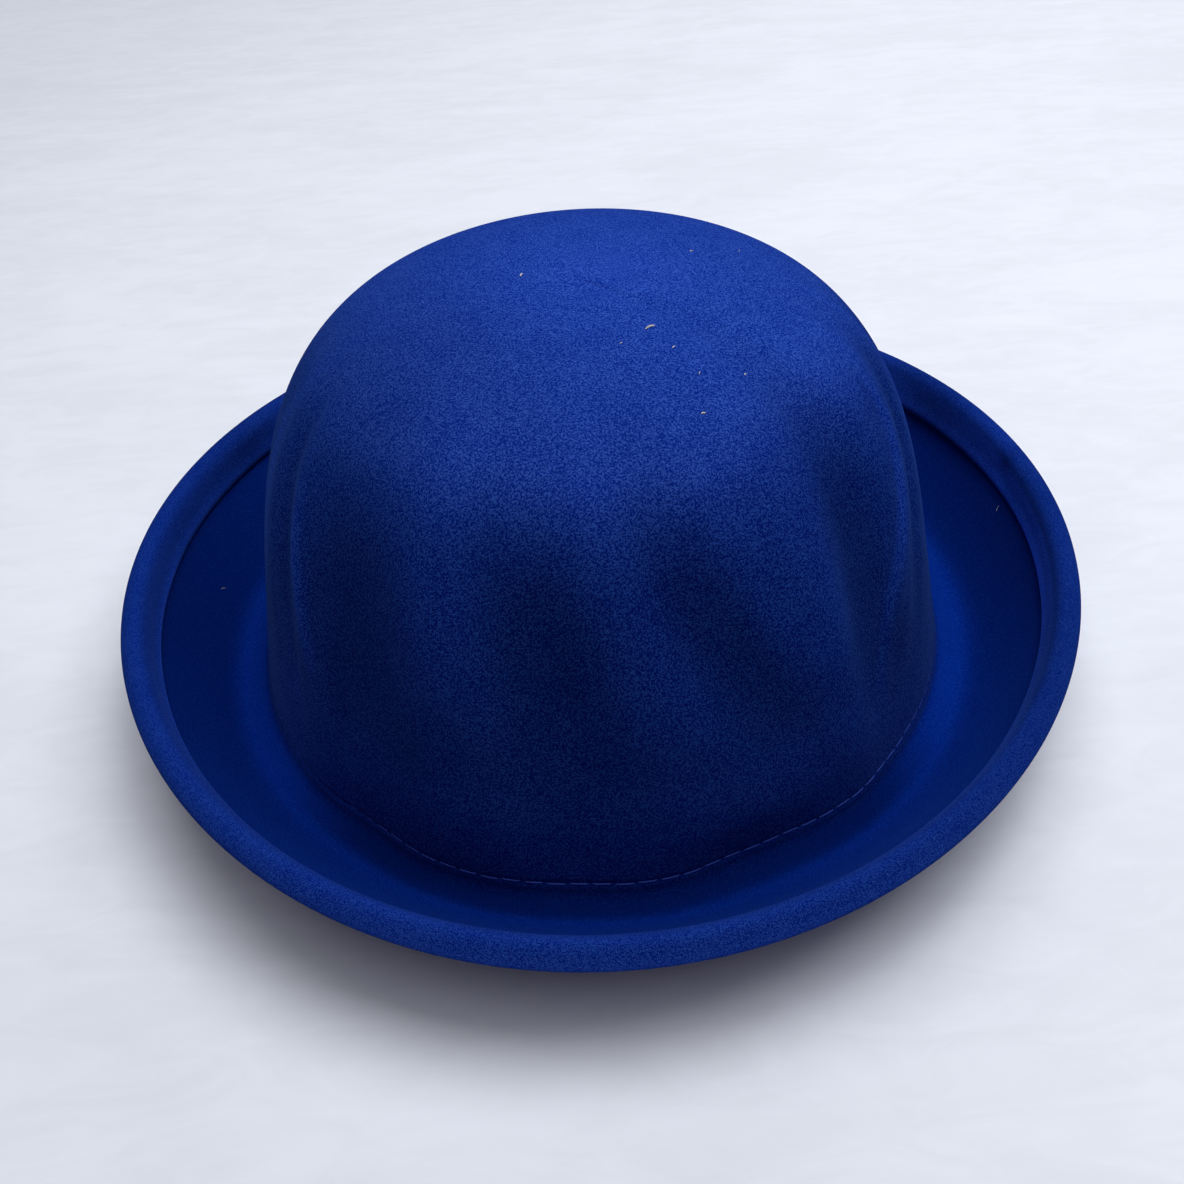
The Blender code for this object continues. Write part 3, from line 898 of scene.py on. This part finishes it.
def nap_group():
    """Wool nap: grains that lean from a dark to a light colour, and the grains' height.

    Where Fine is 1 the grains are smaller, as they are on worn felt.
    """
    group, start, end = effect_group("wool_nap", Dark=BLACK, Light=WHITE, Grain=0.0007, Fine=0.0)
    place = add_node(group, "TexCoord").outputs["Object"]
    scale = maths(group, "DIVIDE", 1.0, start.outputs["Grain"])
    grain, fine = (
        noise(group, place, size, 2.0, Roughness=0.6, Distortion=0.4)
        for size in (scale, maths(group, "MULTIPLY", scale, 1.6)))
    links = {0: start.outputs["Fine"], 2: grain, 3: fine}
    grains = add_node(group, "Mix", links, data_type="FLOAT").outputs[0]
    curl = add_node(group, "TexNoise", {
        "Vector": place, "Scale": scale, "Detail": 0.0, "Distortion": 2.0}, noise_dimensions="4D")
    off_line = maths(group, "ABSOLUTE", maths(group, "SUBTRACT", curl.outputs["Fac"], 0.5))
    fibre = spread(group, off_line, 0.0, 0.05, 0.4, 0.0)
    clouded = maths(group, "MULTIPLY_ADD", noise(group, place, 110.0, 4.0), 0.08, grains)
    light = maths(group, "MULTIPLY_ADD", spread(group, clouded, 0.47, 0.65), 0.8, fibre, use_clamp=True)
    shade = mixed(group, light, start.outputs["Dark"], start.outputs["Light"])
    group.links.new(shade, end.inputs["Color"])
    group.links.new(grain, end.inputs["Height"])
    return group


def twist_group():
    """Plied thread: slanting light and dark plies, and their height."""
    group, start, end = effect_group("thread_twist", Color=BLACK, Pitch=0.0005)
    place = add_node(group, "TexCoord").outputs["Object"]
    scale = maths(group, "DIVIDE", 0.5, start.outputs["Pitch"])
    ply = add_node(group, "TexWave", {
        "Vector": place, "Scale": scale, "Distortion": 1.5, "Detail": 1.0}, bands_direction="DIAGONAL")
    shade = add_node(group, "MapRange", {"Value": ply.outputs["Fac"], "To Min": 0.65, "To Max": 1.25})
    group.links.new(scaled(group, start.outputs["Color"], shade.outputs[0]), end.inputs["Color"])
    group.links.new(ply.outputs["Fac"], end.inputs["Height"])
    return group


GROUP_MAKERS = {"wool_nap": nap_group, "thread_twist": twist_group}


def shared_group(name):
    """The shader group of that name, made the first time that it is asked for."""
    return bpy.data.node_groups.get(name) or GROUP_MAKERS[name]()


# ---- materials

def new_material(name, **constants):
    """A material, its tree and its shader, with constants on the shader's sockets."""
    made = bpy.data.materials.new(name)
    made.use_nodes = True
    shader = made.node_tree.nodes["Principled BSDF"]
    for socket, value in constants.items():
        shader.inputs[socket.replace("_", " ")].default_value = value
    return made, made.node_tree, shader


def use_group(tree, name, **values):
    return add_node(tree, "Group", values, node_tree=shared_group(name))


def rgba(rgb, factor=1.0):
    return (*(min(1.0, channel * factor) for channel in rgb), 1.0)


def bumped(tree, shader, height, strength, distance):
    relief = add_node(tree, "Bump", {"Height": height, "Strength": strength, "Distance": distance})
    tree.links.new(relief.outputs["Normal"], shader.inputs["Normal"])


def felt_material(colours):
    """Dyed felt, grained all over: painted light where the crown faces up, painted shade in the gutter,
    and painted light and shade kept on the points.
    """
    made, tree, shader = new_material(
        "royal_blue_felt", Roughness=0.95, Specular_IOR_Level=0.0,
        Sheen_Weight=0.1, Sheen_Roughness=0.35, Sheen_Tint=(0.12, 0.3, 1.0, 1.0))
    fine = painted(tree, "hem")
    plain, top, deep = (
        use_group(tree, "wool_nap", Dark=rgba(dark), Light=rgba(light), Grain=colours.grain, Fine=fine)
        for dark, light in (
            (colours.felt_dark, colours.felt_light), (colours.lit_top_dark, colours.lit_top_light),
            (colours.shaded_gutter_dark, colours.shaded_gutter_light)))
    # painted light: the lit top colours where the crown faces up
    shade = mixed(tree, painted(tree, "painted_top_light"), plain.outputs["Color"], top.outputs["Color"])
    # painted shade: the shaded gutter colours
    shade = mixed(tree, painted(tree, "gutter"), shade, deep.outputs["Color"])
    # painted light and shade: the colour scaled from half to one and a half by the shading kept on the
    # points
    strength = add_node(tree, "MapRange", {
        "Value": painted(tree, "painted_shading"), "To Min": 0.5, "To Max": 1.5}, clamp=False)
    tree.links.new(scaled(tree, shade, strength.outputs[0]), shader.inputs["Base Color"])
    bumped(tree, shader, plain.outputs["Height"], 0.4, 0.0004)
    return made


def even_material(name, group, values, relief, **constants):
    """A material that one shared effect gives its colour and its relief all over."""
    made, tree, shader = new_material(name, **constants)
    effect = use_group(tree, group, **values)
    tree.links.new(effect.outputs["Color"], shader.inputs["Base Color"])
    bumped(tree, shader, effect.outputs["Height"], *relief)
    return made


def thread_material(name, rgb):
    plies, relief = dict(Color=rgba(rgb), Pitch=0.0006), (0.5, 0.00008)
    return even_material(name, "thread_twist", plies, relief, Roughness=0.7, Specular_IOR_Level=0.1)


def grained(name, rgb, dark, light, grain, relief, **constants):
    """A material whose grains are darker and lighter shares of one colour."""
    grains = dict(Dark=rgba(rgb, dark), Light=rgba(rgb, light), Grain=grain)
    return even_material(name, "wool_nap", grains, relief, **constants)


def metal_material(name, rgb, roughness):
    """Drawn metal with fine dull patches."""
    return grained(name, rgb, 0.8, 1.1, 0.0012, (0.15, 0.00003), Metallic=1.0, Roughness=roughness)


# ---- the pieces

def placed(name, data):
    """A new object in the scene."""
    data.name = name
    made = bpy.data.objects.new(name, data)
    bpy.context.scene.collection.objects.link(made)
    return made


def show(name, data, finish, slot, *nodes):
    """Put a finished mesh in the scene in place of its CAD nodes."""
    piece = placed(name, data)
    data.materials.append(finish)
    if nodes:
        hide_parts(*nodes)
    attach(piece, "root")
    return piece


def settings(context):
    return context.scene.hat_felt, context.scene.hat_trim, context.scene.hat_colours


class HAT_OT_felt(bpy.types.Operator):
    """Make the felt hood with its dents and its turned hem"""
    bl_idname = "hat.felt"
    bl_label = "Felt Hood"

    def execute(self, context):
        felt, _, colours = settings(context)
        show("felt_hood", build_felt(felt), felt_material(colours), "felt", "felt_body")
        return {"FINISHED"}


class HAT_OT_wire(bpy.types.Operator):
    """Make the brim wire and the tube that joins its ends"""
    bl_idname = "hat.wire"
    bl_label = "Brim Wire"

    def execute(self, context):
        felt, trim, colours = settings(context)
        steel = metal_material("spring_steel", colours.steel, 0.35)
        zinc = metal_material("zinc_tube", colours.zinc, 0.45)
        show("rim_wire", build_wire(felt, trim), steel, "spring_wire", "brim_wire")
        show("wire_joiner_tube", build_joiner(felt, trim), zinc, "joiner_tube", "wire_joiner")
        return {"FINISHED"}


class HAT_OT_ribbon(bpy.types.Operator):
    """Make the ribbed sweatband ribbon"""
    bl_idname = "hat.ribbon"
    bl_label = "Ribbon"

    def execute(self, context):
        felt, trim, colours = settings(context)
        finish = grained(
            "navy_grosgrain", colours.ribbon, 0.75, 1.4, 0.0005, (0.3, 0.0001),
            Roughness=0.62, Sheen_Weight=0.15)
        ribbon = show("ribbed_ribbon", build_ribbon(felt, trim), finish, "ribbon", "sweatband")
        return {"FINISHED"}


class HAT_OT_stitches(bpy.types.Operator):
    """Make the stitches outside, inside and up the ribbon's lap"""
    bl_idname = "hat.stitches"
    bl_label = "Stitches"

    def execute(self, context):
        felt, trim, colours = settings(context)
        blue = thread_material("blue_thread", colours.outside_thread)
        navy = thread_material("navy_thread", colours.inside_thread)
        show("needle_stitches", build_outside_seam(felt, trim), blue, "outside_thread", "needle_thread")
        show("bobbin_stitches", build_inside_seam(felt, trim), navy, "inside_thread", "bobbin_thread")
        show("lap_stitches", build_lap_seam(felt, trim), navy, "inside_thread", "lap_thread")
        return {"FINISHED"}


class HAT_OT_lint(bpy.types.Operator):
    """Make the specks and stray fibres that lie on the felt"""
    bl_idname = "hat.lint"
    bl_label = "Lint"

    def execute(self, context):
        shade = context.scene.hat_colours.lint
        finish = grained("pale_lint", shade, 0.6, 1.0, 0.0003, (0.4, 0.0001), Roughness=0.9)
        show("lint", build_lint(bpy.data.objects["felt_hood"]), finish, "felt")
        return {"FINISHED"}


class HAT_OT_stage(bpy.types.Operator):
    """Make the floor, the lights and the camera"""
    bl_idname = "hat.stage"
    bl_label = "Stage"

    def execute(self, context):
        scene = context.scene
        stage = scene.hat_stage
        build_floor(scene.hat_colours.floor, stage.backdrop)
        build_world(scene, stage.backdrop)
        build_lights(stage)
        build_camera(scene, stage)
        scene.view_settings.view_transform = "Standard"
        return {"FINISHED"}


# ---- stage

FLOOR_HALF = 4.0
FLOOR_STRETCH = (1.0, 2.4, 1.0)  # the floor's faint clouds are drawn out along X
FLOOR_TURN = 0.12
CLOUD_SCALES = (7.0, 38.0)
FADE_START, FADE_END = 0.55, 1.6  # from the hat, in metres

# Lamps: name, elevation and direction (degrees), width and height (m)
LAMPS = (
    ("top_box", 80, 80, 1.0, 1.0), ("key_box", 65, 0, 0.9, 0.9), ("fill_box", 65, 272, 0.9, 0.9),
    ("back_strip", 27, 65, 1.1, 0.6), ("front_glow", 12, 268, 1.2, 0.5),
    ("side_glow", 30, 130, 0.9, 0.5),
)


def plainly_seen(tree):
    """1 for the rays from the camera, and those in anything glossy or clear."""
    path = add_node(tree, "LightPath").outputs
    shown = path["Is Camera Ray"]
    for kind in ("Is Glossy Ray", "Is Transmission Ray"):
        shown = maths(tree, "MAXIMUM", shown, path[kind])
    return shown


def build_floor(pale, backdrop):
    """A floor with faint clouds, which fades into the backdrop past the lamps' reach."""
    corners = np.array(((-1, -1, 0), (1, -1, 0), (1, 1, 0), (-1, 1, 0))) * FLOOR_HALF
    data = mesh_from(corners, [(0, 1, 2, 3)])
    floor = placed("floor", data)
    made, tree, shader = new_material("pale_floor", Roughness=0.9, Specular_IOR_Level=0.1)
    place = add_node(tree, "TexCoord").outputs["Object"]
    stretched = add_node(tree, "Mapping", {
        "Vector": place, "Scale": FLOOR_STRETCH, "Rotation": (0, 0, FLOOR_TURN)}).outputs[0]
    broad, small = (
        noise(tree, stretched, scale, 5.0, Roughness=0.6, Distortion=1.0) for scale in CLOUD_SCALES)
    clouds = maths(tree, "MULTIPLY_ADD", broad, 1.2, small)
    seen = mixed(tree, spread(tree, clouds, 0.75, 1.4), rgba(pale, 0.93), rgba(pale))
    shown = plainly_seen(tree)
    tree.links.new(mixed(tree, shown, rgba(pale, 0.85), seen), shader.inputs["Base Color"])
    away = add_node(tree, "VectorMath", {0: place}, operation="LENGTH").outputs["Value"]
    fade = maths(tree, "MULTIPLY", spread(tree, away, FADE_START, FADE_END), shown)
    glow = add_node(tree, "Emission", {"Color": rgba(backdrop)})
    blend = add_node(tree, "MixShader", {0: fade, 1: shader.outputs[0], 2: glow.outputs[0]})
    tree.links.new(blend.outputs[0], tree.nodes["Material Output"].inputs["Surface"])
    data.materials.append(made)


def build_world(scene, backdrop):
    """A world that shows the backdrop and lights nothing."""
    world = bpy.data.worlds.new("studio")
    world.use_nodes = True
    tree = world.node_tree
    background = tree.nodes["Background"]
    tree.links.new(plainly_seen(tree), background.inputs["Strength"])
    background.inputs["Color"].default_value = rgba(backdrop)
    scene.world = world


def build_lights(stage):
    powers = (stage.top_power, stage.key_power, stage.fill_power,
              stage.back_power, stage.front_power, stage.side_power)
    for (name, raised, direction, width, height), power in zip(LAMPS, powers):
        data = bpy.data.lights.new(name, "AREA")
        data.shape = "ELLIPSE"
        data.size, data.size_y = width, height
        data.energy = power
        if name == "front_glow":
            data.color = stage.front_tint
        lamp = placed(name, data)
        up, turn = radians(raised), radians(direction)
        way = Vector((cos(up) * cos(turn), cos(up) * sin(turn), sin(up)))
        lamp.location = way * stage.reach
        lamp.rotation_mode = "QUATERNION"
        lamp.rotation_quaternion = way.to_track_quat("Z", "Y")


def build_camera(scene, stage):
    data = bpy.data.cameras.new("camera")
    data.sensor_width = 36.0
    data.lens = stage.lens
    camera = placed("camera", data)
    swing = Matrix.Rotation(stage.azimuth, 4, "Z")
    target = Vector((stage.target_x, 0.0, stage.target_z))
    back = Vector((0.0, -cos(stage.elevation), sin(stage.elevation)))
    tilt = Matrix.Rotation(pi / 2 - stage.elevation, 4, "X")
    place = Matrix.Translation(target + back * stage.distance)
    camera.matrix_world = swing @ place @ tilt @ Matrix.Rotation(stage.roll, 4, "Z")
    scene.camera = camera


# ---- panel and run

PIECES = (HAT_OT_felt, HAT_OT_wire, HAT_OT_ribbon, HAT_OT_stitches, HAT_OT_lint, HAT_OT_stage)


class HAT_PT_panel(bpy.types.Panel):
    """Lists the hat's pieces"""
    bl_label = "Bowler Hat"
    bl_idname = "HAT_PT_panel"
    bl_space_type = "VIEW_3D"
    bl_region_type = "UI"
    bl_category = "Hat"

    def draw(self, context):
        for piece in PIECES:
            self.layout.operator(piece.bl_idname)


GROUPS = {"hat_felt": HatFelt, "hat_trim": HatTrim, "hat_colours": HatColours, "hat_stage": HatStage}
CLASSES = (*GROUPS.values(), *PIECES, HAT_PT_panel)


def register():
    for item in CLASSES:
        bpy.utils.register_class(item)
    for name, group in GROUPS.items():
        setattr(bpy.types.Scene, name, bpy.props.PointerProperty(type=group))


def unregister():
    for name in GROUPS:
        delattr(bpy.types.Scene, name)
    for item in reversed(CLASSES):
        bpy.utils.unregister_class(item)


def main():
    register()
    bpy.ops.hat.felt()
    bpy.ops.hat.wire()
    bpy.ops.hat.ribbon()
    bpy.ops.hat.stitches()
    bpy.ops.hat.lint()
    bpy.ops.hat.stage()


if __name__ == "__main__":
    main()
